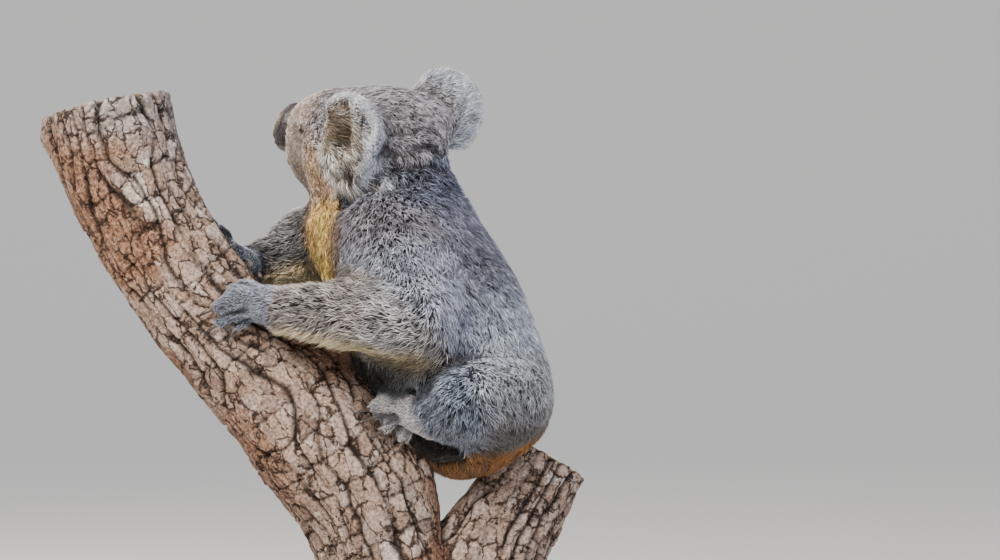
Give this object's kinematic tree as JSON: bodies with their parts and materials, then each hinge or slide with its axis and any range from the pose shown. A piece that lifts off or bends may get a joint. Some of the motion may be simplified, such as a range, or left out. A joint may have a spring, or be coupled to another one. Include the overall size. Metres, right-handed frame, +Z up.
{
  "type": "koala on a perch",
  "caption": "Life-size still koala clinging to a short cut forked limb and looking away over its far shoulder, on a plain board with rods.",
  "frame": {"origin": "centre of the display board's underside, on the surface it stands on", "axes": "+Z up; the koala's back faces +X and its left flank faces -Y; the main limb leans away towards -X"},
  "size_m": [0.5786, 0.3, 0.6738],
  "materials": {
    "fur": "dense woolly grey fur, matt",
    "ear_fur": "long soft fur, grey with white tips",
    "nose_skin": "bare dark nose skin, satin",
    "eye": "wet dark brown eye, polished",
    "claw": "dark horn, satin",
    "bark": "rough cracked bark, matt",
    "board": "dark stained board, satin varnish",
    "steel_rod": "brushed steel"
  },
  "bodies": {
    "root": {"ear_left": "ear_fur", "eye_left": "eye", "ear_right": "ear_fur", "eye_right": "eye", "nose": "nose_skin", "head": "fur", "upper_arm_left": "fur", "forearm_left": "fur", "hand_claw_1_left": "claw", "hand_claw_2_left": "claw", "hand_claw_3_left": "claw", "hand_claw_4_left": "claw", "hand_claw_5_left": "claw", "hand_left": "fur", "thigh_left": "fur", "shin_left": "fur", "foot_claw_2_left": "claw", "foot_claw_3_left": "claw", "foot_claw_4_left": "claw", "foot_claw_5_left": "claw", "foot_left": "fur", "upper_arm_right": "fur", "forearm_right": "fur", "hand_claw_1_right": "claw", "hand_claw_2_right": "claw", "hand_claw_3_right": "claw", "hand_claw_4_right": "claw", "hand_claw_5_right": "claw", "hand_right": "fur", "thigh_right": "fur", "shin_right": "fur", "foot_claw_2_right": "claw", "foot_claw_3_right": "claw", "foot_claw_4_right": "claw", "foot_claw_5_right": "claw", "foot_right": "fur", "neck": "fur", "torso": "fur", "rump": "fur", "perch_trunk": "bark", "perch_branch": "bark", "stand_base": "board", "stand_rod_1": "steel_rod", "stand_rod_2": "steel_rod"}
  },
  "joints": []
}
